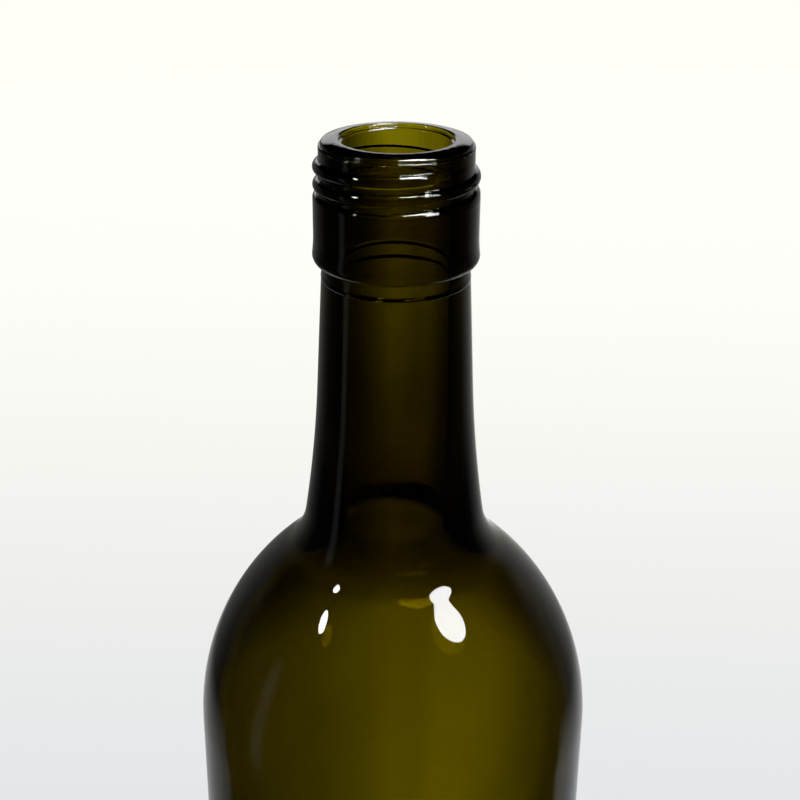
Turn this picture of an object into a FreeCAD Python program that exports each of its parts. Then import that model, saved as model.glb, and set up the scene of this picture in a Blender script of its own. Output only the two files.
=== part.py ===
"""A 750 ml Bordeaux-shape wine bottle of green glass, open and empty, with a long-skirt screw finish.

The bottle is one piece of glass. Two halves of a blow mould form the outside of the body and shoulder,
a ring mould forms the finish, and air forms the inside, so the outside and the inside are
revolved from separate outlines. +Z is up, and the origin is at the centre of the bearing surface.
"""
import FreeCAD, Part
import math
import os
import Sketcher

# Driving sizes: millimetres, and degrees where the name ends in _angle.
SIZES = {
    "total_height": 299.0,
    "body_diameter": 76.2,
    "heel_radius": 7.0,
    "shoulder_drop": 116.4,       # from the lip down to the top of the straight side
    "shoulder_radius": 48.0,
    "throat_radius": 13.9,        # the hollow curve between the shoulder and the neck
    "sweep_radius": 246.7,        # the long hollow curve of the lower neck
    "sweep_rise": 70.7,           # from the top of the straight side up to where the sweep begins
    "neck_angle": 2.66,           # of the straight neck to the axis
    "bore_diameter": 18.5,
    "bore_angle": 0.8,
    "finish_height": 22.5,        # from the lip to the underside of the collar
    "finish_wall": 4.15,
    "finish_angle": 0.5,          # the ring mould's draft
    "lip_depth": 1.75,            # from the lip to the parting line under it
    "lip_inset": 0.38,            # how far the lip stands in from the wall below it
    "lip_edge_radius": 1.15,
    "lip_crown_radius": 4.2,
    "lip_crest_inset": 1.65,      # from the bore's edge to the highest ring of the lip
    "mouth_radius": 1.3,
    "ledge_radius": 0.25,
    "collar_depth": 9.95,         # from the lip to the top of the collar
    "collar_step": 1.05,          # how far the collar stands out from the wall above it
    "collar_top_radius": 0.7,
    "collar_flare": 0.23,         # how much the collar widens below its waist
    "collar_flare_radius": 27.0,
    "collar_under_radius": 1.7,
    "collar_overhang": 1.6,       # how far the collar stands out over the neck
    "body_wall": 3.0,
    "inner_shoulder_drop": 1.4,   # the inside shoulder sits lower, so the glass thickens upwards
    "inner_throat_radius": 11.0,
    "bearing_width": 3.5,         # the flat ring that the bottle stands on
    "punt_height": 20.0,
    "punt_rim_radius": 3.0,
    "base_thickness": 3.6,
    "inner_heel_radius": 5.0,
}

NODE = "bottle"
WALL_RADIUS = "(sizes.bore_diameter / 2 + sizes.finish_wall)"
COLLAR_REACH = "(" + WALL_RADIUS + " + sizes.collar_step + sizes.collar_flare)"


def make_sheet(doc):
    """Put every driving size in a cell that carries its name."""
    sheet = doc.addObject("Spreadsheet::Sheet", "sizes")
    for row, (name, value) in enumerate(SIZES.items(), start=1):
        sheet.set("A%d" % row, name)
        sheet.set("B%d" % row, str(value))
        sheet.setAlias("B%d" % row, name)
    doc.recompute()
    return sheet


def wall_radius():
    """The finish's outer radius just under its lip."""
    return SIZES["bore_diameter"] / 2.0 + SIZES["finish_wall"]


def collar_reach():
    """The collar's largest radius."""
    return wall_radius() + SIZES["collar_step"] + SIZES["collar_flare"]


def polar(centre, radius, angle):
    """The point at an angle, in radians, on a circle."""
    return (centre[0] + radius * math.cos(angle), centre[1] + radius * math.sin(angle))


def heading(start, end):
    """The direction from one point to another, in radians."""
    return math.atan2(end[1] - start[1], end[0] - start[0])


def circle_meet(first, first_radius, second, second_radius):
    """The point of two circles' crossing that lies to the left, seen from the first to the second."""
    gap = math.dist(first, second)
    along = (first_radius ** 2 - second_radius ** 2 + gap ** 2) / (2.0 * gap)
    aside = math.sqrt(first_radius ** 2 - along ** 2)
    way = heading(first, second)
    foot = polar(first, along, way)
    return polar(foot, aside, way + math.pi / 2.0)


class Outline:
    """A sketch of half a section, with the axis as its vertical axis and the radius across."""

    def __init__(self, body, name):
        plane = [item for item in body.Origin.OriginFeatures if item.Role == "XZ_Plane"][0]
        self.sketch = body.newObject("Sketcher::SketchObject", name)
        self.sketch.AttachmentSupport = [(plane, "")]
        self.sketch.MapMode = "FlatFace"

    def line(self, start, end):
        """A straight edge; its ends are points 1 and 2."""
        ends = [FreeCAD.Vector(x, y, 0.0) for x, y in (start, end)]
        return self.sketch.addGeometry(Part.LineSegment(*ends), False)

    def arc(self, centre, radius, start_angle, end_angle):
        """An arc drawn anticlockwise; its ends are points 1 and 2 and its centre is point 3."""
        circle = Part.Circle(FreeCAD.Vector(centre[0], centre[1], 0.0), FreeCAD.Vector(0, 0, 1), radius)
        return self.sketch.addGeometry(Part.ArcOfCircle(circle, start_angle, end_angle), False)

    def tie(self, kind, *items):
        """A constraint without a size."""
        return self.sketch.addConstraint(Sketcher.Constraint(kind, *items))

    def size(self, name, kind, items, value, expression):
        """A constraint with a size that the sheet drives."""
        index = self.sketch.addConstraint(Sketcher.Constraint(kind, *items, value))
        self.sketch.renameConstraint(index, name)
        self.sketch.setExpression("Constraints." + name, expression)

    def radius(self, arc, value, expression, name):
        """Drive an arc's radius."""
        self.size(name, "Radius", (arc,), value, expression)

    def slope(self, line, value, degrees, name):
        """Drive a line's direction from the radius's direction."""
        self.size(name, "Angle", (line,), value, "(" + degrees + ") * 1 deg")

    def measure(self, name, kind, items, value):
        """A size that the rest of the sketch settles, kept by name for other sketches to use."""
        index = self.sketch.addConstraint(Sketcher.Constraint(kind, *items, value))
        self.sketch.renameConstraint(index, name)
        self.sketch.setDriving(index, False)

    def across(self, item, point, value, expression, name):
        """Drive a point's distance from the axis."""
        self.size(name, "DistanceX", (-1, 1, item, point), value, expression)

    def up(self, item, point, value, expression, name):
        """Drive a point's height above the bearing surface."""
        self.size(name, "DistanceY", (-1, 1, item, point), value, expression)


def draw_outside(body):
    """The blown outside, from the bearing surface to the underside of the collar, without the punt."""
    s = SIZES
    body_radius = s["body_diameter"] / 2.0
    heel = s["heel_radius"]
    side_top = s["total_height"] - s["shoulder_drop"]
    neck_top = s["total_height"] - s["finish_height"]
    neck_radius = collar_reach() - s["collar_overhang"]
    taper = math.radians(s["neck_angle"])
    sweep_top = side_top + s["sweep_rise"]
    sweep_start = (neck_radius + (neck_top - sweep_top) * math.tan(taper), sweep_top)

    shoulder_centre = (body_radius - s["shoulder_radius"], side_top)
    sweep_centre = polar(sweep_start, s["sweep_radius"], taper)
    throat_centre = circle_meet(
        shoulder_centre, s["shoulder_radius"] + s["throat_radius"],
        sweep_centre, s["sweep_radius"] - s["throat_radius"])
    to_shoulder = heading(throat_centre, shoulder_centre) % (2.0 * math.pi)
    to_sweep = heading(sweep_centre, throat_centre) % (2.0 * math.pi)

    o = Outline(body, "outside_outline")
    base = o.line((0.0, 0.0), (body_radius - heel, 0.0))
    foot = o.arc((body_radius - heel, heel), heel, -math.pi / 2.0, 0.0)
    side = o.line((body_radius, heel), (body_radius, side_top))
    shoulder = o.arc(shoulder_centre, s["shoulder_radius"], 0.0, to_shoulder - math.pi)
    throat = o.arc(throat_centre, s["throat_radius"], to_sweep, to_shoulder)
    sweep = o.arc(sweep_centre, s["sweep_radius"], math.pi + taper, to_sweep)
    neck = o.line(sweep_start, (neck_radius, neck_top))
    top = o.line((neck_radius, neck_top), (0.0, neck_top))
    axis = o.line((0.0, neck_top), (0.0, 0.0))

    o.tie("Coincident", base, 1, -1, 1)
    o.tie("Horizontal", base)
    o.tie("Tangent", base, 2, foot, 1)
    o.tie("Tangent", foot, 2, side, 1)
    o.tie("Vertical", side)
    o.tie("Tangent", side, 2, shoulder, 1)
    o.tie("Tangent", shoulder, 2, throat, 2)
    o.tie("Tangent", throat, 1, sweep, 2)
    o.tie("Tangent", sweep, 1, neck, 1)
    o.tie("Coincident", neck, 2, top, 1)
    o.tie("Horizontal", top)
    o.tie("Coincident", top, 2, axis, 1)
    o.tie("Coincident", axis, 2, base, 1)
    o.tie("PointOnObject", axis, 1, -2)

    o.across(side, 1, body_radius, "sizes.body_diameter / 2", "body_radius")
    o.radius(foot, heel, "sizes.heel_radius", "heel_radius")
    o.up(side, 2, side_top, "sizes.total_height - sizes.shoulder_drop", "side_top")
    o.radius(shoulder, s["shoulder_radius"], "sizes.shoulder_radius", "shoulder_radius")
    o.radius(throat, s["throat_radius"], "sizes.throat_radius", "throat_radius")
    o.radius(sweep, s["sweep_radius"], "sizes.sweep_radius", "sweep_radius")
    o.up(sweep, 1, sweep_top,
         "sizes.total_height - sizes.shoulder_drop + sizes.sweep_rise", "sweep_top")
    o.up(neck, 2, neck_top, "sizes.total_height - sizes.finish_height", "neck_top")
    o.across(neck, 2, neck_radius, COLLAR_REACH + " - sizes.collar_overhang", "neck_radius")
    o.slope(neck, math.pi / 2.0 + taper, "90 + sizes.neck_angle", "neck_angle")
    return o.sketch


def draw_finish(body):
    """The ring-moulded top: lip, parting step, drafted wall and flared collar."""
    s = SIZES
    total = s["total_height"]
    under = total - s["finish_height"]
    neck_radius = collar_reach() - s["collar_overhang"]
    collar_side = wall_radius() + s["collar_step"]
    collar_top = total - s["collar_depth"]
    lip_side = wall_radius() - s["lip_inset"]
    lip_foot = total - s["lip_depth"]
    draft = math.radians(s["finish_angle"])

    under_x = collar_reach() - s["collar_under_radius"]
    under_y = under + math.sqrt(s["collar_under_radius"] ** 2 - (neck_radius - under_x) ** 2)
    under_centre = (under_x, under_y)
    flare_x = collar_side + s["collar_flare_radius"]
    flare_reach = s["collar_flare_radius"] + s["collar_under_radius"]
    waist = under_y + math.sqrt(flare_reach ** 2 - (flare_x - under_x) ** 2)
    flare_centre = (flare_x, waist)
    corner_centre = (collar_side - s["collar_top_radius"], collar_top - s["collar_top_radius"])
    wall_foot_radius = wall_radius() + (lip_foot - collar_top) * math.tan(draft)
    ledge_centre_x = wall_radius() - s["ledge_radius"]
    ledge_centre = (ledge_centre_x, lip_foot - s["ledge_radius"])
    crown_centre = (s["bore_diameter"] / 2.0 + s["lip_crest_inset"], total - s["lip_crown_radius"])
    edge_x = lip_side - s["lip_edge_radius"]
    edge_gap = s["lip_crown_radius"] - s["lip_edge_radius"]
    edge_y = crown_centre[1] + math.sqrt(edge_gap ** 2 - (edge_x - crown_centre[0]) ** 2)
    edge_centre = (edge_x, edge_y)
    mouth_x = s["bore_diameter"] / 2.0 + s["mouth_radius"]
    mouth_gap = s["lip_crown_radius"] - s["mouth_radius"]
    mouth_y = crown_centre[1] + math.sqrt(mouth_gap ** 2 - (mouth_x - crown_centre[0]) ** 2)
    mouth_centre = (mouth_x, mouth_y)

    o = Outline(body, "finish_outline")
    bottom = o.line((0.0, under), (neck_radius, under))
    under_arc = o.arc(under_centre, s["collar_under_radius"],
                      heading(under_centre, (neck_radius, under)), heading(under_centre, flare_centre))
    flare = o.arc(flare_centre, s["collar_flare_radius"], math.pi,
                  heading(under_centre, flare_centre) + math.pi)
    side = o.line((collar_side, waist), (collar_side, corner_centre[1]))
    corner = o.arc(corner_centre, s["collar_top_radius"], 0.0, math.pi / 2.0)
    shelf = o.line((corner_centre[0], collar_top), (wall_foot_radius, collar_top))
    wall = o.line((wall_foot_radius, collar_top), polar(ledge_centre, s["ledge_radius"], draft))
    ledge = o.arc(ledge_centre, s["ledge_radius"], draft, math.pi / 2.0)
    step = o.line((ledge_centre_x, lip_foot), (lip_side, lip_foot))
    lip = o.line((lip_side, lip_foot), (lip_side, edge_y))
    edge = o.arc(edge_centre, s["lip_edge_radius"], 0.0, heading(crown_centre, edge_centre))
    crown = o.arc(crown_centre, s["lip_crown_radius"], heading(crown_centre, edge_centre),
                  heading(crown_centre, mouth_centre))
    mouth = o.arc(mouth_centre, s["mouth_radius"], heading(crown_centre, mouth_centre), math.pi)
    floor = o.line((s["bore_diameter"] / 2.0, mouth_y), (0.0, mouth_y))
    axis = o.line((0.0, mouth_y), (0.0, under))

    o.tie("PointOnObject", bottom, 1, -2)
    o.tie("Horizontal", bottom)
    o.tie("Coincident", bottom, 2, under_arc, 1)
    o.tie("Tangent", under_arc, 2, flare, 2)
    o.tie("Tangent", flare, 1, side, 1)
    o.tie("Vertical", side)
    o.tie("Tangent", side, 2, corner, 1)
    o.tie("Tangent", corner, 2, shelf, 1)
    o.tie("Horizontal", shelf)
    o.tie("Coincident", shelf, 2, wall, 1)
    o.tie("Tangent", wall, 2, ledge, 1)
    o.tie("Tangent", ledge, 2, step, 1)
    o.tie("Horizontal", step)
    o.tie("Coincident", step, 2, lip, 1)
    o.tie("Vertical", lip)
    o.tie("Tangent", lip, 2, edge, 1)
    o.tie("Tangent", edge, 2, crown, 1)
    o.tie("Tangent", crown, 2, mouth, 1)
    o.tie("Horizontal", floor)
    o.tie("Coincident", mouth, 2, floor, 1)
    o.tie("Coincident", floor, 2, axis, 1)
    o.tie("Coincident", axis, 2, bottom, 1)
    o.tie("PointOnObject", axis, 1, -2)
    o.tie("Horizontal", mouth, 3, mouth, 2)

    o.up(bottom, 2, under, "sizes.total_height - sizes.finish_height", "underside")
    o.across(bottom, 2, neck_radius, COLLAR_REACH + " - sizes.collar_overhang", "neck_radius")
    o.radius(under_arc, s["collar_under_radius"], "sizes.collar_under_radius", "under_radius")
    o.across(under_arc, 3, under_x, COLLAR_REACH + " - sizes.collar_under_radius", "under_centre")
    o.radius(flare, s["collar_flare_radius"], "sizes.collar_flare_radius", "flare_radius")
    o.across(side, 1, collar_side, WALL_RADIUS + " + sizes.collar_step", "collar_side")
    o.radius(corner, s["collar_top_radius"], "sizes.collar_top_radius", "corner_radius")
    o.up(shelf, 1, collar_top, "sizes.total_height - sizes.collar_depth", "collar_top")
    o.slope(wall, math.pi / 2.0 + draft, "90 + sizes.finish_angle", "wall_slope")
    o.radius(ledge, s["ledge_radius"], "sizes.ledge_radius", "ledge_radius")
    o.across(ledge, 3, ledge_centre_x, WALL_RADIUS + " - sizes.ledge_radius", "ledge_centre")
    o.up(step, 1, lip_foot, "sizes.total_height - sizes.lip_depth", "lip_foot")
    o.across(lip, 1, lip_side, WALL_RADIUS + " - sizes.lip_inset", "lip_side")
    o.radius(edge, s["lip_edge_radius"], "sizes.lip_edge_radius", "edge_radius")
    o.radius(crown, s["lip_crown_radius"], "sizes.lip_crown_radius", "crown_radius")
    o.across(crown, 3, crown_centre[0], "sizes.bore_diameter / 2 + sizes.lip_crest_inset", "crest")
    o.up(crown, 3, crown_centre[1], "sizes.total_height - sizes.lip_crown_radius", "crown_centre")
    o.radius(mouth, s["mouth_radius"], "sizes.mouth_radius", "mouth_radius")
    o.across(mouth, 2, s["bore_diameter"] / 2.0, "sizes.bore_diameter / 2", "bore_radius")
    o.measure("mouth_level", "DistanceY", (-1, 1, mouth, 2), mouth_y)
    return o.sketch


def draw_punt(body):
    """The hollow pushed up into the base, with a rounded rim inside the bearing ring."""
    s = SIZES
    rim = s["punt_rim_radius"]
    height = s["punt_height"]
    rim_x = s["body_diameter"] / 2.0 - s["heel_radius"] - s["bearing_width"]
    dome = (rim_x ** 2 + height ** 2 - 2.0 * height * rim) / (2.0 * height)
    rim_centre = (rim_x, rim)
    dome_centre = (0.0, height - dome)

    o = Outline(body, "punt_outline")
    base = o.line((0.0, 0.0), (rim_x, 0.0))
    rim_arc = o.arc(rim_centre, rim, heading(rim_centre, dome_centre) % (2.0 * math.pi), 1.5 * math.pi)
    dome_arc = o.arc(dome_centre, dome, heading(dome_centre, rim_centre), math.pi / 2.0)
    axis = o.line((0.0, height), (0.0, 0.0))

    o.tie("Coincident", base, 1, -1, 1)
    o.tie("Horizontal", base)
    o.tie("Tangent", base, 2, rim_arc, 2)
    o.tie("Tangent", rim_arc, 1, dome_arc, 1)
    o.tie("PointOnObject", dome_arc, 3, -2)
    o.tie("Coincident", dome_arc, 2, axis, 1)
    o.tie("Coincident", axis, 2, base, 1)
    o.tie("PointOnObject", axis, 1, -2)

    o.across(base, 2, rim_x,
             "sizes.body_diameter / 2 - sizes.heel_radius - sizes.bearing_width", "rim_start")
    o.radius(rim_arc, rim, "sizes.punt_rim_radius", "rim_radius")
    o.up(axis, 1, height, "sizes.punt_height", "punt_height")
    o.measure("dome_radius", "Radius", (dome_arc,), dome)
    return o.sketch


def draw_inside(body, mouth_level, dome_radius):
    """The blown inside, from the mouth to the floor over the punt."""
    s = SIZES
    bore = s["bore_diameter"] / 2.0
    taper = math.radians(s["bore_angle"])
    side_top = s["total_height"] - s["shoulder_drop"]
    inner_radius = s["body_diameter"] / 2.0 - s["body_wall"]
    shoulder = s["shoulder_radius"] - s["body_wall"]
    inner_side_top = side_top - s["inner_shoulder_drop"]
    shoulder_centre = (inner_radius - shoulder, inner_side_top)
    throat = s["inner_throat_radius"]
    floor = dome_radius + s["base_thickness"]
    floor_centre = (0.0, s["punt_height"] - dome_radius)
    heel = s["inner_heel_radius"]
    heel_x = inner_radius - heel
    heel_y = floor_centre[1] + math.sqrt((floor + heel) ** 2 - heel_x ** 2)
    heel_centre = (heel_x, heel_y)

    # The throat's centre runs down beside the bore until it is a radius away from the shoulder.
    down = (math.sin(taper), -math.cos(taper))
    start = polar((bore, mouth_level), throat, taper)
    offset = (start[0] - shoulder_centre[0], start[1] - shoulder_centre[1])
    along = offset[0] * down[0] + offset[1] * down[1]
    reach = shoulder + throat
    run = -along - math.sqrt(along ** 2 - offset[0] ** 2 - offset[1] ** 2 + reach ** 2)
    throat_centre = (start[0] + run * down[0], start[1] + run * down[1])
    bore_foot = (bore + run * down[0], mouth_level + run * down[1])
    to_shoulder = heading(throat_centre, shoulder_centre) % (2.0 * math.pi)

    o = Outline(body, "inside_outline")
    top = o.line((0.0, mouth_level), (bore, mouth_level))
    neck = o.line((bore, mouth_level), bore_foot)
    throat_arc = o.arc(throat_centre, throat, math.pi + taper, to_shoulder)
    shoulder_arc = o.arc(shoulder_centre, shoulder, 0.0, to_shoulder - math.pi)
    side = o.line((inner_radius, inner_side_top), (inner_radius, heel_y))
    heel_arc = o.arc(heel_centre, heel, heading(heel_centre, floor_centre) % (2.0 * math.pi),
                     2.0 * math.pi)
    floor_arc = o.arc(floor_centre, floor, heading(floor_centre, heel_centre), math.pi / 2.0)
    axis = o.line((0.0, floor_centre[1] + floor), (0.0, mouth_level))

    o.tie("PointOnObject", top, 1, -2)
    o.tie("Horizontal", top)
    o.tie("Coincident", top, 2, neck, 1)
    o.tie("Tangent", neck, 2, throat_arc, 1)
    o.tie("Tangent", throat_arc, 2, shoulder_arc, 2)
    o.tie("Tangent", shoulder_arc, 1, side, 1)
    o.tie("Vertical", side)
    o.tie("Tangent", side, 2, heel_arc, 2)
    o.tie("Tangent", heel_arc, 1, floor_arc, 1)
    o.tie("PointOnObject", floor_arc, 3, -2)
    o.tie("Coincident", floor_arc, 2, axis, 1)
    o.tie("Coincident", axis, 2, top, 1)
    o.tie("PointOnObject", axis, 1, -2)

    o.up(top, 2, mouth_level, "finish_outline.Constraints.mouth_level", "mouth_level")
    o.across(top, 2, bore, "sizes.bore_diameter / 2", "bore_radius")
    o.slope(neck, taper - math.pi / 2.0, "sizes.bore_angle - 90", "bore_slope")
    o.radius(throat_arc, throat, "sizes.inner_throat_radius", "throat_radius")
    o.radius(shoulder_arc, shoulder, "sizes.shoulder_radius - sizes.body_wall", "shoulder_radius")
    o.across(side, 1, inner_radius, "sizes.body_diameter / 2 - sizes.body_wall", "inner_radius")
    o.up(side, 1, inner_side_top,
         "sizes.total_height - sizes.shoulder_drop - sizes.inner_shoulder_drop", "side_top")
    o.radius(heel_arc, heel, "sizes.inner_heel_radius", "heel_radius")
    o.radius(floor_arc, floor, "punt_outline.Constraints.dome_radius + sizes.base_thickness * 1 mm",
             "floor_radius")
    o.up(axis, 1, s["punt_height"] + s["base_thickness"],
         "sizes.punt_height + sizes.base_thickness", "floor_height")
    return o.sketch


def turn(body, kind, name, sketch):
    """Revolve a sketch once round its own vertical axis, to add or to cut glass."""
    feature = body.newObject("PartDesign::" + kind, name)
    feature.Profile = sketch
    feature.ReferenceAxis = (sketch, ["V_Axis"])
    feature.Angle = 360.0
    body.Document.recompute()
    return feature


def make_bottle(doc):
    """Blow the outside, mould the finish on it, then push in the punt and hollow the inside."""
    body = doc.addObject("PartDesign::Body", NODE)
    body.Label = NODE
    turn(body, "Revolution", "outside", draw_outside(body))
    finish = draw_finish(body)
    turn(body, "Revolution", "finish", finish)
    punt = draw_punt(body)
    turn(body, "Groove", "punt", punt)
    mouth_level = finish.getDatum("mouth_level").Value
    dome_radius = punt.getDatum("dome_radius").Value
    turn(body, "Groove", "inside", draw_inside(body, mouth_level, dome_radius))
    return body


def check(doc, body):
    """Stop unless every feature computed and the glass is one sound solid."""
    failed = [item.Name for item in doc.Objects if {"Invalid", "Error"} & set(item.State)]
    if failed:
        raise RuntimeError("failed features: " + ", ".join(failed))
    if body.Shape.isNull() or not body.Shape.isValid() or len(body.Shape.Solids) != 1:
        raise RuntimeError(NODE + " is not one valid solid")


def main():
    doc = FreeCAD.newDocument("wine_bottle")
    make_sheet(doc)
    body = make_bottle(doc)
    doc.recompute()
    check(doc, body)
    os.makedirs("parts", exist_ok=True)
    body.Shape.exportStep(os.path.join("parts", NODE + ".step"))
    print("%s: %.1f cm3 of glass" % (NODE, body.Shape.Volume / 1000.0))


main()
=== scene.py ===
# %% [markdown]
# # An empty wine bottle with a screw finish
#
# A wine bottle is one piece of glass, but three tools shape it. A ring mould presses the finish,
# which is the top that takes the cap. A blow mould gives the outside of the neck, shoulder and body.
# Below the mouth the inside is shaped by air alone, so it is smoother and less even than the outside.
# Here the outline is drawn first, up the outside and down the inside. It is turned round the axis,
# the thread is pressed into it, and the inside is made uneven last.

# %% Load the frame
import math
import bpy
from mathutils import Matrix, Vector


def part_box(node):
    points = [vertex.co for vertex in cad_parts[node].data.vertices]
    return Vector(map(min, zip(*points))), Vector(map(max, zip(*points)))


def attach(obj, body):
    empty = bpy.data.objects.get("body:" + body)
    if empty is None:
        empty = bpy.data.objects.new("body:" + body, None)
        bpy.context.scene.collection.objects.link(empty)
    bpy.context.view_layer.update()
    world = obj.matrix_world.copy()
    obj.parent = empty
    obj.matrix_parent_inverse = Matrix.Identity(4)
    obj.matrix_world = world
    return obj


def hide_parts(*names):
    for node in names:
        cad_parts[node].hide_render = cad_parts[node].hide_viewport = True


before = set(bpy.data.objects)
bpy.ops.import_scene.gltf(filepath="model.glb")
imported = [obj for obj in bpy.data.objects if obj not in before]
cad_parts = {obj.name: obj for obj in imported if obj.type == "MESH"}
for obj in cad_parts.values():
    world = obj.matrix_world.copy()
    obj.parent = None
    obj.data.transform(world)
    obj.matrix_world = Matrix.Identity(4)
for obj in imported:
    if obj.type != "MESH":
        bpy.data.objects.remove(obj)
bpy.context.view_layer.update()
low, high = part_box("bottle")
MM = 0.001
TOP = high.z / MM
BODY = high.x / MM
print("the bottle is %.1f mm tall and %.1f mm across" % (TOP, 2.0 * BODY))

# %% [markdown]
# ## The outline
#
# A lathe shape is only as good as its outline. The real one is drawn by the mould maker with straight
# lines and arcs that run smoothly into each other, so the same few radii are used here.
# Each arc becomes short steps, and a formula finds where two arcs touch, so no list of points is
# needed. Depths are measured down from the lip, as makers do for a finish, and turned to heights.
# Sizes are in millimetres until a mesh is made, and step is about how long each short piece is.

# %% Points along lines and arcs
def at(centre, radius, angle):
    """The point at an angle on a circle, in the plane of the outline."""
    return (centre[0] + radius * math.cos(angle), centre[1] + radius * math.sin(angle))


def heading(start, end):
    """The direction from one point to another."""
    return math.atan2(end[1] - start[1], end[0] - start[0])


def along_line(start, end, step):
    """Points from start up to, but not at, the end."""
    count = max(1, round(math.dist(start, end) / step))
    return [(start[0] + (end[0] - start[0]) * i / count, start[1] + (end[1] - start[1]) * i / count)
            for i in range(count)]


def along_arc(centre, radius, first, last, step):
    """Points along an arc from the first angle up to, but not at, the last."""
    count = max(2, math.ceil(radius * abs(last - first) / step))
    return [at(centre, radius, first + (last - first) * i / count) for i in range(count)]


def meeting(first, first_radius, second, second_radius):
    """Where two circles cross, on the left going from the first centre to the second."""
    gap = math.dist(first, second)
    near = (first_radius ** 2 - second_radius ** 2 + gap ** 2) / (2.0 * gap)
    aside = math.sqrt(first_radius ** 2 - near ** 2)
    way = heading(first, second)
    return at(at(first, near, way), aside, way + math.pi / 2.0)


def soft_corner(before, corner, after, radius, step):
    """Points round a corner between two straight edges, rounded to a radius."""
    way_in = heading(corner, before)
    way_out = heading(corner, after)
    half = (way_out - way_in) % (2.0 * math.pi) / 2.0
    middle = way_in + half
    if half > math.pi / 2.0:
        middle += math.pi
        half = math.pi - half
    centre = at(corner, radius / math.sin(half), middle)
    leg = radius / math.tan(half)
    first = heading(centre, at(corner, leg, way_in))
    last = heading(centre, at(corner, leg, way_out))
    turn = (last - first + math.pi) % (2.0 * math.pi) - math.pi
    return along_arc(centre, radius, first, first + turn, step) + [at(centre, radius, first + turn)]


# %% [markdown]
# ## The blown outside
#
# From the ground up: a domed hollow called the punt, the narrow ring that the bottle stands on, a
# rounded heel, the straight side, one wide shoulder arc, a tight hollow throat, a long gentle sweep
# and a neck that tapers by under three degrees.

# %% Outline of the outside, from the punt to the collar
HEEL = 7.0
BEARING = 3.5
PUNT = 20.0
PUNT_RIM = 3.0
SHOULDER_DROP = 116.4
SHOULDER = 48.0
THROAT = 13.9
SWEEP = 246.7
SWEEP_RISE = 70.7       # from the shoulder line up to where the sweep ends in the straight neck
NECK_ANGLE = math.radians(2.66)
FINISH = 22.5           # from the lip down to the underside of the collar
NECK_RADIUS = 13.08     # just under the collar
SHOULDER_LINE = TOP - SHOULDER_DROP
NECK_TOP = TOP - FINISH

RIM_REACH = BODY - HEEL - BEARING
DOME = (RIM_REACH ** 2 + PUNT ** 2 - 2.0 * PUNT * PUNT_RIM) / (2.0 * PUNT)
DOME_CENTRE = (0.0, PUNT - DOME)


def outside_outline():
    """The outline from the top of the punt, under the bottle and up to the collar."""
    rim = (RIM_REACH, PUNT_RIM)
    heel = (BODY - HEEL, HEEL)
    shoulder = (BODY - SHOULDER, SHOULDER_LINE)
    sweep_foot = SHOULDER_LINE + SWEEP_RISE
    sweep_start = (NECK_RADIUS + (NECK_TOP - sweep_foot) * math.tan(NECK_ANGLE), sweep_foot)
    sweep = at(sweep_start, SWEEP, NECK_ANGLE)
    throat = meeting(shoulder, SHOULDER + THROAT, sweep, SWEEP - THROAT)
    to_rim = heading(DOME_CENTRE, rim)
    to_throat = heading(shoulder, throat)
    to_sweep = heading(throat, sweep) + math.pi
    points = along_arc(DOME_CENTRE, DOME, math.pi / 2.0, to_rim, step=1.6)
    points += along_arc(rim, PUNT_RIM, to_rim + math.pi, 1.5 * math.pi, step=0.7)
    points += along_line((RIM_REACH, 0.0), (BODY - HEEL, 0.0), step=1.0)
    points += along_arc(heel, HEEL, -math.pi / 2.0, 0.0, step=0.9)
    points += along_line((BODY, HEEL), (BODY, SHOULDER_LINE), step=9.0)
    points += along_arc(shoulder, SHOULDER, 0.0, to_throat, step=1.5)
    points += along_arc(throat, THROAT, to_throat + math.pi, to_sweep, step=0.8)
    points += along_arc(sweep, SWEEP, to_sweep, math.pi + NECK_ANGLE, step=2.0)
    points += along_line(sweep_start, (NECK_RADIUS, NECK_TOP), step=1.0)[:-1]
    return points


outside = outside_outline()
print("the outside has %d points" % len(outside))

# %% [markdown]
# ## The pressed finish
#
# The ring mould makes everything above the neck: the collar with its flared skirt and soft underside,
# a straight drafted wall that carries the thread, a small parting ledge, and the lip. The lip is a
# gently crowned band with a sharper drop to a fine step, from which a small corner leads to the bore.
# The underside meets the neck in a tight inside corner, which glass always fills with a small radius.
# Just below it a fine raised ring shows where the ring mould and the mould for the neck met.
# Between the collar and the ledge the outline is left as a plain blank, and the thread is pressed later.

# %% Outline of the collar and of the lip
WALL = 13.4
WALL_DRAFT = math.radians(0.5)
LIP_DEPTH = 1.55
LIP_SIDE = 13.05
LIP_EDGE = 0.65
LIP_CROWN = 8.0
CREST = 10.3
CREST_DEPTH = 0.5
CREST_EDGE = 0.5
RING_DEPTH = 1.15       # the fine step between the lip and the bore
RING_SLOPE = 0.18       # how far that step falls towards the bore
RING_CORNER = 0.12
MOUTH_CORNER = 0.4
BORE = 9.25
BORE_DEPTH = 1.9        # where the straight bore begins
LEDGE = 0.25
LEDGE_CORNER = 0.06
SHELF_DEPTH = 9.95
COLLAR_SIDE = 14.45
COLLAR_CORNER = 0.7
UNDER_REACH = 12.98     # from the axis to the centre of the soft underside
UNDER_RADIUS = 1.7
UNDER_CORNER = 0.22
UNDER_START = 0.3       # how far along the underside that corner may reach
FLARE = 27.0
SEAM_DEPTH = 24.7
SEAM_HEIGHT = 0.05
SEAM_WIDTH = 0.25
SEAM_REACH = 0.6
SEAM_STEP = 0.1
PRESS_FOOT = 11.5       # the blank for the thread runs from this depth
PRESS_HEAD = 1.75       # up to this one
PRESS_ROWS = 110

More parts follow.
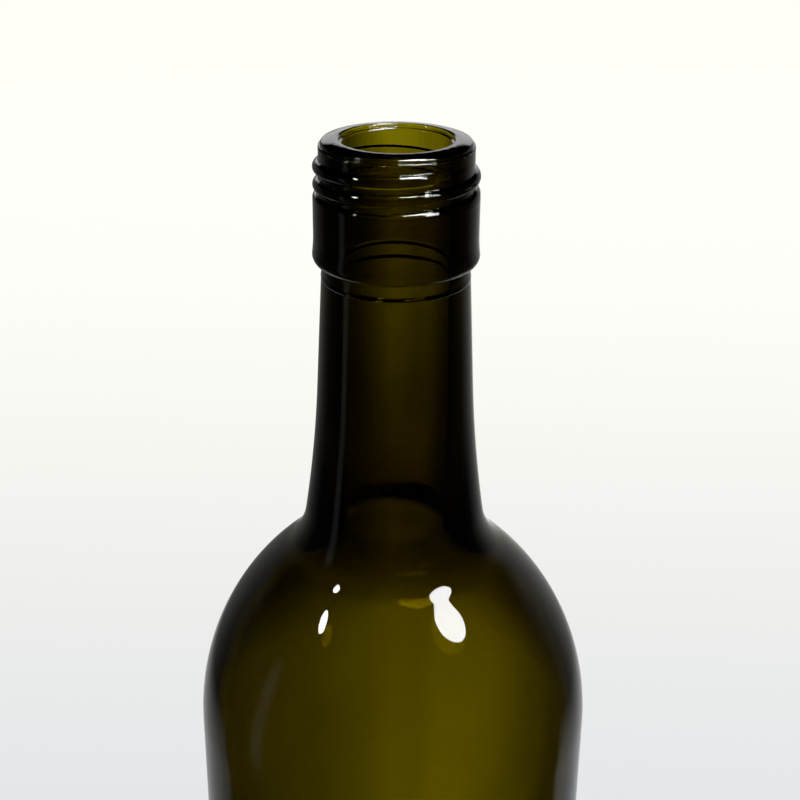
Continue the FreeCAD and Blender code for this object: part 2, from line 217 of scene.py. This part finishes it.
under = (UNDER_REACH, NECK_TOP + math.sqrt(UNDER_RADIUS ** 2 - (NECK_RADIUS - UNDER_REACH) ** 2))
flare = (COLLAR_SIDE + FLARE,
         under[1] + math.sqrt((FLARE + UNDER_RADIUS) ** 2 - (COLLAR_SIDE + FLARE - under[0]) ** 2))
crown = (CREST, TOP - CREST_DEPTH - LIP_CROWN)
edge_x = LIP_SIDE - LIP_EDGE
edge = (edge_x, crown[1] + math.sqrt((LIP_CROWN - LIP_EDGE) ** 2 - (edge_x - CREST) ** 2))


def neck_seam():
    """The last of the neck, with the fine ring where two moulds met."""
    points = []
    for i in range(round(2.0 * SEAM_REACH / SEAM_STEP) + 1):
        depth = SEAM_DEPTH + SEAM_REACH - SEAM_STEP * i
        radius = NECK_RADIUS + (depth - FINISH) * math.tan(NECK_ANGLE)
        raised = SEAM_HEIGHT * math.exp(-((depth - SEAM_DEPTH) / SEAM_WIDTH) ** 2)
        points.append((radius + raised, TOP - depth))
    return points


def finish_outline():
    """The outline from the neck ring, round the collar and over the lip to the bore."""
    corner = (NECK_RADIUS, NECK_TOP)
    points = neck_seam()
    first = heading(under, corner)
    start = first + UNDER_START / UNDER_RADIUS
    points += soft_corner(points[-1], corner, at(under, UNDER_RADIUS, start), UNDER_CORNER, step=0.07)
    points += along_arc(under, UNDER_RADIUS, start, heading(under, flare), step=0.16)
    points += along_arc(flare, FLARE, heading(flare, under) % (2.0 * math.pi), math.pi, step=0.6)
    blank_foot = (COLLAR_SIDE, TOP - PRESS_FOOT)
    blank_head = (WALL, TOP - PRESS_HEAD)
    points += along_line((COLLAR_SIDE, flare[1]), blank_foot, step=0.9)
    points += along_line(blank_foot, blank_head, step=(PRESS_FOOT - PRESS_HEAD) / PRESS_ROWS)
    ledge = (WALL - LEDGE, TOP - LIP_DEPTH - LEDGE)
    points += along_arc(ledge, LEDGE, WALL_DRAFT, math.pi / 2.0, step=0.07)
    points += soft_corner((WALL - LEDGE, TOP - LIP_DEPTH), (LIP_SIDE, TOP - LIP_DEPTH),
                          (LIP_SIDE, TOP), LEDGE_CORNER, step=0.03)
    points += along_arc(edge, LIP_EDGE, 0.0, heading(crown, edge), step=0.06)
    points += along_arc(crown, LIP_CROWN, heading(crown, edge), math.pi / 2.0, step=0.16)
    crest = (CREST, TOP - CREST_DEPTH - CREST_EDGE)
    points += along_arc(crest, CREST_EDGE, math.pi / 2.0, math.pi, step=0.06)
    ring = (CREST - CREST_EDGE, TOP - RING_DEPTH)
    mouth = (BORE, TOP - RING_DEPTH - RING_SLOPE)
    points += soft_corner((ring[0], TOP), ring, mouth, RING_CORNER, step=0.05)
    points += soft_corner(ring, mouth, (BORE, TOP - BORE_DEPTH), MOUTH_CORNER, step=0.08)
    return points


finish = finish_outline()
print("the finish has %d points" % len(finish))

# %% [markdown]
# ## The inside
#
# Below the mouth no tool touches the inside, so its outline is softer: a bore that opens slowly
# downwards, a throat, a shoulder set a little lower than the outside one, and a floor that rises
# over the punt.
# The wall is what gives dark glass its depth of colour, so it is modelled and not painted.

# %% Outline of the inside, from the mouth to the floor
BODY_WALL = 3.0
BORE_ANGLE = math.radians(0.8)
INNER_THROAT = 11.0
SETTLE = 1.4            # the inside shoulder sits lower, so the glass thickens upwards
BASE = 3.6
INNER_HEEL = 5.0


def inside_outline():
    """The outline from the mouth down to the middle of the floor."""
    inner = BODY - BODY_WALL
    shoulder_radius = SHOULDER - BODY_WALL
    shoulder = (inner - shoulder_radius, SHOULDER_LINE - SETTLE)
    down = (math.sin(BORE_ANGLE), -math.cos(BORE_ANGLE))
    mouth = (BORE, TOP - BORE_DEPTH)
    start = at(mouth, INNER_THROAT, BORE_ANGLE)
    offset = (start[0] - shoulder[0], start[1] - shoulder[1])
    along = offset[0] * down[0] + offset[1] * down[1]
    reach = shoulder_radius + INNER_THROAT
    run = -along - math.sqrt(along ** 2 - offset[0] ** 2 - offset[1] ** 2 + reach ** 2)
    throat = (start[0] + run * down[0], start[1] + run * down[1])
    bore_foot = (BORE + run * down[0], mouth[1] + run * down[1])
    to_shoulder = heading(throat, shoulder) % (2.0 * math.pi)
    floor_radius = DOME + BASE
    heel_x = inner - INNER_HEEL
    heel = (heel_x, DOME_CENTRE[1] + math.sqrt((floor_radius + INNER_HEEL) ** 2 - heel_x ** 2))
    points = along_line(mouth, bore_foot, step=1.6)
    points += along_arc(throat, INNER_THROAT, math.pi + BORE_ANGLE, to_shoulder, step=0.7)
    points += along_arc(shoulder, shoulder_radius, to_shoulder - math.pi, 0.0, step=1.6)
    points += along_line((inner, shoulder[1]), (inner, heel[1]), step=6.0)
    points += along_arc(heel, INNER_HEEL, 0.0, heading(heel, DOME_CENTRE), step=0.9)
    points += along_arc(DOME_CENTRE, floor_radius, heading(DOME_CENTRE, heel), math.pi / 2.0, step=1.6)
    return points + [(0.0, DOME_CENTRE[1] + floor_radius)]


inside = inside_outline()
outline = outside + finish + inside
print("the whole outline has %d points" % len(outline))

# %% [markdown]
# ## The turn
#
# The outline could be a curve with a Screw modifier, but the wall has to be one closed skin for light
# to bend through it properly, so it is made by hand: one point drawn out along the outline, then spun.
# The two ends lie on the axis, where all their copies are merged, and so the punt and floor are closed.

# %% Draw the outline and spin it
SEGMENTS = 176
MERGE = 0.00001         # metres


def clear_selection():
    """Nothing selected and nothing being edited, ready for the next operator."""
    if bpy.context.object and bpy.context.object.mode != "OBJECT":
        bpy.ops.object.mode_set(mode="OBJECT")
    bpy.ops.object.select_all(action="DESELECT")


clear_selection()
bpy.ops.mesh.primitive_plane_add(size=MM, location=(0.0, 0.0, 0.0))
bottle = bpy.context.object
bottle.name = "wine_bottle"
bottle.data.name = "wine_bottle"
bpy.ops.object.mode_set(mode="EDIT")
bpy.ops.mesh.merge(type="CENTER")
bpy.ops.transform.translate(value=(outline[0][0] * MM, 0.0, outline[0][1] * MM))
for before, after in zip(outline, outline[1:]):
    bpy.ops.mesh.extrude_region_move(TRANSFORM_OT_translate={
        "value": ((after[0] - before[0]) * MM, 0.0, (after[1] - before[1]) * MM)})
bpy.ops.mesh.select_all(action="SELECT")
bpy.ops.mesh.spin(steps=SEGMENTS, angle=2.0 * math.pi, center=(0.0, 0.0, 0.0), axis=(0.0, 0.0, 1.0))
bpy.ops.mesh.select_all(action="SELECT")
bpy.ops.mesh.remove_doubles(threshold=MERGE)
bpy.ops.mesh.normals_make_consistent(inside=False)
bpy.ops.object.mode_set(mode="OBJECT")
bpy.ops.object.shade_smooth()
print("the bottle has %d corners and %d faces" % (len(bottle.data.vertices), len(bottle.data.polygons)))

# %% [markdown]
# ## The thread
#
# The thread could be a separate coil joined by a boolean, but glass shows every leftover face inside
# it, and a pressed thread has no hard line at its root. So the blank is pressed like the real one:
# each upright row of the blank is laid evenly along the outline that the mould has at that angle,
# which is the wall, the shelf of the collar and the round beads of the thread, blended together.
# The thread is right-handed. It rises out of the wall just right of the front, goes round a little
# over twice and dies in the collar.

# %% The outline of the ring mould at one angle
PITCH = 3.1
LEFT_DEPTH = 5.3        # depth of the first pass at the left side, 180 degrees round
CREST_RADIUS = 14.42
BEAD = 1.15
BEAD_FALL = 4.0         # how steeply a bead ends inside the wall
BEAD_MARGIN = 1.0       # a bead further than this under the surface is left out
ROOT = 0.14
START_ANGLE = 309.0
START_SINK = 1.05       # how much lower the crest is where the thread starts
FADE_IN = 24.0
END_ANGLE = -455.0
FINE = 900              # steps in which one upright row is measured
SLACK = 0.001
WALL_SLACK = 0.01


def plain_radius(depth):
    """The wall and the collar without a thread, at a depth below the lip."""
    wall = WALL + (depth - PRESS_HEAD) * math.tan(WALL_DRAFT)
    foot = SHELF_DEPTH - LEDGE
    if depth <= foot:
        return wall
    if depth < SHELF_DEPTH:
        return wall + LEDGE - math.sqrt(max(0.0, LEDGE ** 2 - (depth - foot) ** 2))
    below = min(depth - SHELF_DEPTH, COLLAR_CORNER)
    return COLLAR_SIDE - COLLAR_CORNER + math.sqrt(COLLAR_CORNER ** 2 - (COLLAR_CORNER - below) ** 2)


def beads(angle):
    """Depth and crest radius of each pass of the thread at an angle in degrees."""
    found = []
    turn = angle % 360.0 + 360.0
    while turn > END_ANGLE:
        if turn < START_ANGLE:
            share = min(1.0, (START_ANGLE - turn) / FADE_IN)
            share = share * share * (3.0 - 2.0 * share)
            depth = LEFT_DEPTH + PITCH * (180.0 - turn) / 360.0
            found.append((depth, CREST_RADIUS - START_SINK * (1.0 - share)))
        turn -= 360.0
    return found


def pressed_radius(depth, passes):
    """The radius of the pressed glass: the larger of wall and beads, with a soft root."""
    radius = plain_radius(depth)
    for middle, crest in passes:
        off = abs(depth - middle)
        if off < BEAD:
            bead = crest - BEAD + math.sqrt(BEAD ** 2 - off ** 2)
        else:
            bead = crest - BEAD - BEAD_FALL * (off - BEAD)
        if bead > radius - BEAD_MARGIN:
            radius = (radius + bead + math.sqrt((radius - bead) ** 2 + ROOT ** 2)) / 2.0
    return radius


def pressed_row(angle, count):
    """Points spread evenly along the mould outline at an angle, from the collar up to the ledge."""
    passes = beads(angle)
    line = []
    for i in range(FINE + 1):
        depth = PRESS_FOOT + (PRESS_HEAD - PRESS_FOOT) * i / FINE
        line.append((pressed_radius(depth, passes), depth))
    travelled = [0.0]
    for before, after in zip(line, line[1:]):
        travelled.append(travelled[-1] + math.dist(before, after))
    points = []
    j = 0
    for i in range(count + 1):
        goal = travelled[-1] * i / count
        while j < FINE - 1 and travelled[j + 1] < goal:
            j += 1
        share = (goal - travelled[j]) / max(1e-9, travelled[j + 1] - travelled[j])
        points.append((line[j][0] + (line[j + 1][0] - line[j][0]) * share,
                       line[j][1] + (line[j + 1][1] - line[j][1]) * share))
    return points


print("passes of the thread at the front:", [round(depth, 2) for depth, crest in beads(270.0)])

# %% Press the blank
rows = {}
moved = 0
for corner in bottle.data.vertices:
    depth = TOP - corner.co.z / MM
    radius = math.hypot(corner.co.x, corner.co.y) / MM
    if PRESS_HEAD - SLACK < depth < PRESS_FOOT + SLACK and radius > WALL - WALL_SLACK:
        angle = math.degrees(math.atan2(corner.co.y, corner.co.x))
        key = round(angle * SEGMENTS / 360.0) % SEGMENTS
        if key not in rows:
            rows[key] = pressed_row(angle, PRESS_ROWS)
        row = rows[key][round((PRESS_FOOT - depth) / (PRESS_FOOT - PRESS_HEAD) * PRESS_ROWS)]
        corner.co.x *= row[0] / radius
        corner.co.y *= row[0] / radius
        corner.co.z = (TOP - row[1]) * MM
        moved += 1
bottle.data.update()
print("pressed %d corners in %d rows" % (moved, len(rows)))

# %% [markdown]
# ## The uneven inside
#
# Blown glass is never the same thickness all round. The inside wanders by up to a fifth of a
# millimetre over about two centimetres, which the eye sees as soft streaks in the colour and in
# whatever shows through. A bump on the surface can't change how deep the colour is, so the inner
# wall itself is moved, by a cloud pattern held to the inside with a vertex group. The wander starts
# under the thread and grows downwards.

# %% Let the inside wander
EVEN_DEPTH = 12.0       # from the lip down to where the wander starts
GROWS_OVER = 18.0
WALL_LEAN = 0.2         # a wall's normal points inwards by at least this share
WALL_FOOT = 14.0        # the inner wall is looked for above this height
FLOOR_LEAN = 0.5        # the floor's normal points up by at least this share
FLOOR_TOP = 40.0
FLOOR_REACH = 34.0
inner_group = bottle.vertex_groups.new(name="inside")
inner_count = 0
for corner in bottle.data.vertices:
    radius = math.hypot(corner.co.x, corner.co.y) / MM
    height = corner.co.z / MM
    inward = -(corner.normal.x * corner.co.x + corner.normal.y * corner.co.y) / max(radius * MM, 1e-9)
    on_wall = inward > WALL_LEAN and height > WALL_FOOT
    on_floor = corner.normal.z > FLOOR_LEAN and height < FLOOR_TOP and radius < FLOOR_REACH
    if on_wall or on_floor:
        share = max(0.0, min(1.0, (TOP - height - EVEN_DEPTH) / GROWS_OVER))
        if share > 0.0:
            inner_group.add([corner.index], share, "REPLACE")
            inner_count += 1
clouds = bpy.data.textures.new("blown_wander", "CLOUDS")
clouds.noise_scale = 0.022
clouds.noise_depth = 1
clear_selection()
bottle.select_set(True)
bpy.context.view_layer.objects.active = bottle
wander = bottle.modifiers.new("wander", "DISPLACE")
wander.texture = clouds
wander.texture_coords = "LOCAL"
wander.vertex_group = "inside"
wander.mid_level = 0.5
wander.strength = 0.0004
bpy.ops.object.modifier_apply(modifier="wander")
print("the wander moves %d corners" % inner_count)

# %% Measure the glass
volume = 0.0
bottle.data.calc_loop_triangles()
for triangle in bottle.data.loop_triangles:
    a, b, c = (bottle.data.vertices[i].co for i in triangle.vertices)
    volume += a.dot(b.cross(c)) / 6.0
print("the glass is %.1f cubic centimetres in %d triangles"
      % (volume * 1e6, len(bottle.data.loop_triangles)))

# %% [markdown]
# ## The glass
#
# Wine bottles of this green-brown kind are soda-lime glass coloured by iron, chromium and manganese.
# Its index is 1.52. The colour is in the glass, so it gets stronger with thickness: Volume Absorption
# does this, while a surface colour would give the thin lip and the thick neck the same tint.
# The surface is fire-polished, so it is sharp and glossy, with the mould's faint waviness, about a
# centimetre and a half long and a few hundredths of a millimetre deep. The pressed finish has finer
# ripples on top of that, about a millimetre long, which fade out under the thread.

# %% Colours and nodes
def colour(code):
    """An sRGB hex colour as the linear numbers that shaders use."""
    parts = [int(code[i:i + 2], 16) / 255.0 for i in (1, 3, 5)]
    return [p / 12.92 if p <= 0.04045 else ((p + 0.055) / 1.055) ** 2.4 for p in parts] + [1.0]


def add(tree, kind, settings=None, links=None):
    """A node with its settings, and links from other nodes' outputs to its inputs."""
    node = tree.nodes.new(kind)
    for name, value in (settings or {}).items():
        if name == "stops":
            while len(node.color_ramp.elements) < len(value):
                node.color_ramp.elements.new(1.0)
            for stop, (where, shade) in zip(node.color_ramp.elements, value):
                stop.position = where
                stop.color = shade if isinstance(shade, list) else [shade, shade, shade, 1.0]
        elif isinstance(name, int) or name in node.inputs:
            node.inputs[name].default_value = value
        else:
            setattr(node, name, value)
    for name, output in (links or {}).items():
        tree.links.new(output, node.inputs[name])
    return node


def remapped(tree, value, old, new, soft=False):
    """A value moved from one range to another, with a soft start and end where asked."""
    kind = "SMOOTHSTEP" if soft else "LINEAR"
    node = add(tree, "ShaderNodeMapRange", {
        "interpolation_type": kind, 1: old[0], 2: old[1], 3: new[0], 4: new[1]}, {0: value})
    return node.outputs[0]


def worked_out(tree, operation, first, second):
    """A Math node on two values. Each is a number or the output of another node."""
    node = add(tree, "ShaderNodeMath", {"operation": operation})
    for socket, value in zip(node.inputs, (first, second)):
        if isinstance(value, float):
            socket.default_value = value
        else:
            tree.links.new(value, socket)
    return node.outputs[0]


# %% Dark olive bottle glass
WAVES = 70.0            # to the metre
WAVE_SHARE = 0.1
RIPPLES = 1100.0        # to the metre
RIPPLE_SHARE = 0.05
RIPPLES_END = 13.0      # below this depth there are none
RIPPLES_FULL = 11.5     # above this one they are full
BUMP = 0.0004           # metres, for a share of 1
GREEN_BROWN = [0.737, 0.709, 0.0, 1.0]
GLASS_INDEX = 1.52

glass = bpy.data.materials.new("olive_soda_lime_glass")
glass.use_nodes = True
tree = glass.node_tree
tree.nodes.clear()
place = add(tree, "ShaderNodeTexCoord").outputs["Object"]
wave = add(tree, "ShaderNodeTexNoise", {"Scale": WAVES, "Detail": 1.0}, {"Vector": place})
wavy = add(tree, "ShaderNodeBump", {"Strength": WAVE_SHARE, "Distance": BUMP},
           {"Height": wave.outputs["Fac"]})
split = add(tree, "ShaderNodeSeparateXYZ", None, {0: place})
edges = ((TOP - RIPPLES_END) * MM, (TOP - RIPPLES_FULL) * MM)
pressed = remapped(tree, split.outputs["Z"], edges, (0.0, RIPPLE_SHARE))
peel = add(tree, "ShaderNodeTexNoise", {"Scale": RIPPLES, "Detail": 2.0}, {"Vector": place})
peeled = add(tree, "ShaderNodeBump", {"Distance": BUMP}, {
    "Strength": pressed, "Height": peel.outputs["Fac"], "Normal": wavy.outputs["Normal"]})
skin = add(tree, "ShaderNodeBsdfPrincipled", {
    "Base Color": [1.0, 1.0, 1.0, 1.0], "Roughness": 0.012, "IOR": GLASS_INDEX,
    "Transmission Weight": 1.0}, {"Normal": peeled.outputs["Normal"]})
depth_colour = add(tree, "ShaderNodeVolumeAbsorption", {"Color": GREEN_BROWN, "Density": 1500.0})
add(tree, "ShaderNodeOutputMaterial", None, {
    "Surface": skin.outputs["BSDF"], "Volume": depth_colour.outputs["Volume"]})
bottle.data.materials.clear()
bottle.data.materials.append(glass)
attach(bottle, "root")
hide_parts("bottle")
print("glass ready")

# %% [markdown]
# ## The table and the studio
#
# Dark glass looks like what stands round it. The table top and the world beyond it are plain and
# pale wherever they are seen directly. The glass is shown something else: through Is Glossy Ray,
# which is on for what it mirrors and for what shows through it, it meets a brightness for each
# direction round the bottle, bright straight behind and dark at the sides and in front, but for a
# faint strip on the left. One ramp is for things far away, one for the table close by and one for a
# tall strip behind.
#
# This is a stage trick, and not the plain background that glass should show. It is set for the front
# view. From the side and from behind, the glass comes out nearly black. Its colour was tuned in this
# light too, so in an evenly bright room it looks paler and greyer.

# %% Brightness round the bottle
BRIGHTEST = 2.5         # the level that stands for 1 on a ramp


def from_degrees(stops):
    """Stops given in degrees to the left (-) or right (+) of straight behind, for a ramp."""
    return [((angle + 180.0) / 360.0, level / BRIGHTEST) for angle, level in stops]


FAR = from_degrees([
    (-107, 0.0), (-103, 0.15), (-98, 0.15), (-95, 0.006), (-68, 0.01), (-58, 0.035), (-48, 0.065),
    (-38, 0.11), (-28, 0.14), (-20, 0.15), (-15, 0.16), (-9.4, 0.28), (-6.1, 0.48), (-4, 0.62),
    (-1.5, 0.95), (3, 0.85), (5.6, 0.67), (9, 0.68), (13, 0.72), (20, 0.46), (28, 0.34),
    (38, 0.25), (48, 0.17), (58, 0.08), (68, 0.02), (80, 0.006)])
NEAR = from_degrees([
    (-76, 0.006), (-71, 0.16), (-62, 0.27), (-52, 0.36), (-40, 0.5), (-24, 0.6), (-10, 0.85),
    (-6, 1.1), (-3, 1.25), (0, 1.55), (3, 1.5), (6, 1.9), (10, 2.0), (24, 0.8), (40, 0.62),
    (52, 0.46), (62, 0.36), (71, 0.28), (76, 0.006)])
TALL = from_degrees([(-26, 0.0), (-16, 1.2), (16, 1.2), (26, 0.0)])


def angle_behind(tree, split):
    """Where something lies round the bottle, from 0 to 1, with straight behind at a half."""
    angle = worked_out(tree, "ARCTAN2", split.outputs["X"], split.outputs["Y"])
    return add(tree, "ShaderNodeMath", {
        "operation": "MULTIPLY_ADD", 1: 0.5 / math.pi, 2: 0.5}, {0: angle}).outputs[0]


def shown_to_glass(tree, ray, brightness):
    """A strength of 1, except for rays from the glass, which meet the brightness off a ramp."""
    raised = worked_out(tree, "MULTIPLY", brightness, BRIGHTEST)
    return add(tree, "ShaderNodeMix", {"data_type": "FLOAT", 2: 1.0}, {
        0: ray.outputs["Is Glossy Ray"], 3: raised}).outputs[0]


# %% The table top
TABLE = 8.0             # metres
TABLE_BACK = 2.0
PAINTED_FALLOFF_OVER = 2.0         # painted falloff of light: the table is pale grey at the bottle and in front of it, and grows white over this distance behind
CLOSE_BY = (0.28, 0.5)  # the near ramp gives way to the far one between these distances
GLOW_SHARE = 0.85       # the rest is matt, so that a little of the bottle's shadow shows

clear_selection()
bpy.ops.mesh.primitive_plane_add(size=TABLE, location=(0.0, TABLE_BACK, low.z))
table = bpy.context.object
table.name = "table_top"
paper = bpy.data.materials.new("matt_white_table_top")
paper.use_nodes = True
tree = paper.node_tree
tree.nodes.clear()
place = add(tree, "ShaderNodeNewGeometry").outputs["Position"]
split = add(tree, "ShaderNodeSeparateXYZ", None, {0: place})
back = remapped(tree, split.outputs["Y"], (0.0, PAINTED_FALLOFF_OVER), (0.0, 1.0))
# Painted shade: the table's colour stands in for light falling off towards the bottle, pale grey close by
# and white further back.
shade = add(tree, "ShaderNodeValToRGB", {"stops": [
    (0.06, colour("#dcdfe2")), (0.10, colour("#e1e3e5")), (0.17, colour("#ebece9")),
    (0.27, colour("#f6f6f0")), (0.36, colour("#fbfbf5")), (0.5, colour("#fefef8")),
    (1.0, colour("#fffff7"))]}, {"Fac": back}).outputs["Color"]
angle = angle_behind(tree, split)
far = add(tree, "ShaderNodeValToRGB", {"stops": FAR}, {"Fac": angle})
near = add(tree, "ShaderNodeValToRGB", {"stops": NEAR}, {"Fac": angle})
reach = add(tree, "ShaderNodeVectorMath", {"operation": "LENGTH"}, {0: place})
close = remapped(tree, reach.outputs["Value"], CLOSE_BY, (1.0, 0.0), soft=True)
mirrored = add(tree, "ShaderNodeMix", {"data_type": "FLOAT"}, {
    0: close, 2: far.outputs["Color"], 3: near.outputs["Color"]})
ray = add(tree, "ShaderNodeLightPath")
strength = shown_to_glass(tree, ray, mirrored.outputs[0])
glow = add(tree, "ShaderNodeEmission", None, {"Color": shade, "Strength": strength})
matt = add(tree, "ShaderNodeBsdfDiffuse", None, {"Color": shade})
by_glass = worked_out(tree, "MAXIMUM", ray.outputs["Is Transmission Ray"], ray.outputs["Is Glossy Ray"])
by_eye = worked_out(tree, "MULTIPLY", ray.outputs["Is Camera Ray"], GLOW_SHARE)
both = add(tree, "ShaderNodeMixShader", None, {
    0: worked_out(tree, "MAXIMUM", by_eye, by_glass), 1: matt.outputs[0], 2: glow.outputs[0]})
add(tree, "ShaderNodeOutputMaterial", None, {"Surface": both.outputs[0]})
table.data.materials.append(paper)
print("table top ready")

# %% The studio round the table
# Heights are the upright part of a direction, from 0 at eye level to 1 overhead.
DARK_ABOVE = (0.1, 0.36)
STRIP_FOOT = (0.03, 0.12)
STRIP_HEAD = (0.3, 0.36)

world = bpy.data.worlds.new("studio")
bpy.context.scene.world = world
world.use_nodes = True
tree = world.node_tree
tree.nodes.clear()
way = add(tree, "ShaderNodeTexCoord")
split = add(tree, "ShaderNodeSeparateXYZ", None, {0: way.outputs["Generated"]})
angle = angle_behind(tree, split)
far = add(tree, "ShaderNodeValToRGB", {"stops": FAR}, {"Fac": angle})
tall = add(tree, "ShaderNodeValToRGB", {"stops": TALL}, {"Fac": angle})
not_high = remapped(tree, split.outputs["Z"], DARK_ABOVE, (1.0, 0.0), soft=True)
over_foot = remapped(tree, split.outputs["Z"], STRIP_FOOT, (0.0, 1.0), soft=True)
under_head = remapped(tree, split.outputs["Z"], STRIP_HEAD, (1.0, 0.0), soft=True)
lower = worked_out(tree, "MULTIPLY", far.outputs["Color"], not_high)
strip = worked_out(tree, "MULTIPLY", over_foot, under_head)
upper = worked_out(tree, "MULTIPLY", tall.outputs["Color"], strip)
ray = add(tree, "ShaderNodeLightPath")
level = shown_to_glass(tree, ray, worked_out(tree, "MAXIMUM", lower, upper))
sky = add(tree, "ShaderNodeBackground", {"Color": [1.0, 1.0, 1.0, 1.0]}, {"Strength": level})
add(tree, "ShaderNodeOutputWorld", None, {"Surface": sky.outputs[0]})
print("studio ready")

# %% [markdown]
# ## Lamps
#
# One large soft light stands high on the right, a small one high on the left, and a third hangs
# overhead. Each is a real lamp with a size, so it draws a highlight of that size. The overhead one is
# too high to show on the shoulder, and only draws the long streaks on the lip and the thread. It is
# set not to light matt surfaces, so the table is lit by the other two and by the studio.

# %% Soft lamps
LAMP_DISTANCE = 1.3     # metres
AIM_RISE = 15.0         # the lamps aim this far above the shoulder line


def towards(azimuth, elevation):
    """A direction from its angles in degrees. Azimuth is from straight behind, to the right."""
    across, up = math.radians(azimuth), math.radians(elevation)
    return Vector((math.sin(across) * math.cos(up), math.cos(across) * math.cos(up), math.sin(up)))


def lamp(name, azimuth, elevation, along, length, width, glow_level):
    """A soft oval lamp that faces the shoulder. along gives the azimuth and elevation that its
    long side points to, and glow_level its brightness."""
    way = towards(azimuth, elevation)
    side = towards(*along) - way
    side = (side - way * side.dot(way)).normalized()
    data = bpy.data.lights.new(name, "AREA")
    data.shape = "ELLIPSE"
    data.size = length
    data.size_y = width
    data.energy = math.pi * (length * width * (math.pi / 4.0)) * glow_level
    made = bpy.data.objects.new(name, data)
    bpy.context.collection.objects.link(made)
    turned = Matrix((side, way.cross(side), way)).transposed()
    made.rotation_mode = "QUATERNION"
    made.rotation_quaternion = turned.to_quaternion()
    made.location = Vector((0.0, 0.0, (SHOULDER_LINE + AIM_RISE) * MM)) + way * LAMP_DISTANCE
    return made


lamp("large_soft_light", 122.5, 47.0, (118.5, 40.0), length=0.45, width=0.38, glow_level=20.0)
overhead = lamp("overhead_soft_light", 112.0, 77.0, (112.0, 89.0), length=0.56, width=0.50, glow_level=60.0)
overhead.visible_diffuse = False
lamp("small_soft_light", -112.0, 41.5, (-107.0, 46.0), length=0.24, width=0.11, glow_level=26.0)
print("lamps ready")

# %% [markdown]
# ## The camera
#
# The camera stands close, a little above the lip, and looks down. That is why the neck leans
# towards it and the body falls away quickly.

# %% The camera
LENS = 64.74            # millimetres, for a sensor 36 mm wide
CAMERA_BACK = 0.2389    # metres
CAMERA_RISE = 0.0612    # above the lip
TURN = -0.213           # degrees, as are the next two
DOWN = 24.82
ROLL = 0.48

data = bpy.data.cameras.new("camera")
data.sensor_width = 36.0
data.lens = LENS
data.clip_start = 0.01
data.clip_end = 50.0
camera = bpy.data.objects.new("camera", data)
bpy.context.collection.objects.link(camera)
camera.location = (0.0, -CAMERA_BACK, high.z + CAMERA_RISE)
camera.rotation_mode = "QUATERNION"
look = Matrix.Rotation(math.radians(TURN), 3, "Z") @ Matrix.Rotation(math.radians(90.0 - DOWN), 3, "X")
look = look @ Matrix.Rotation(math.radians(ROLL), 3, "Z")
camera.rotation_quaternion = look.to_quaternion()
bpy.context.scene.camera = camera
bpy.context.scene.view_settings.view_transform = "Standard"
print("camera ready")
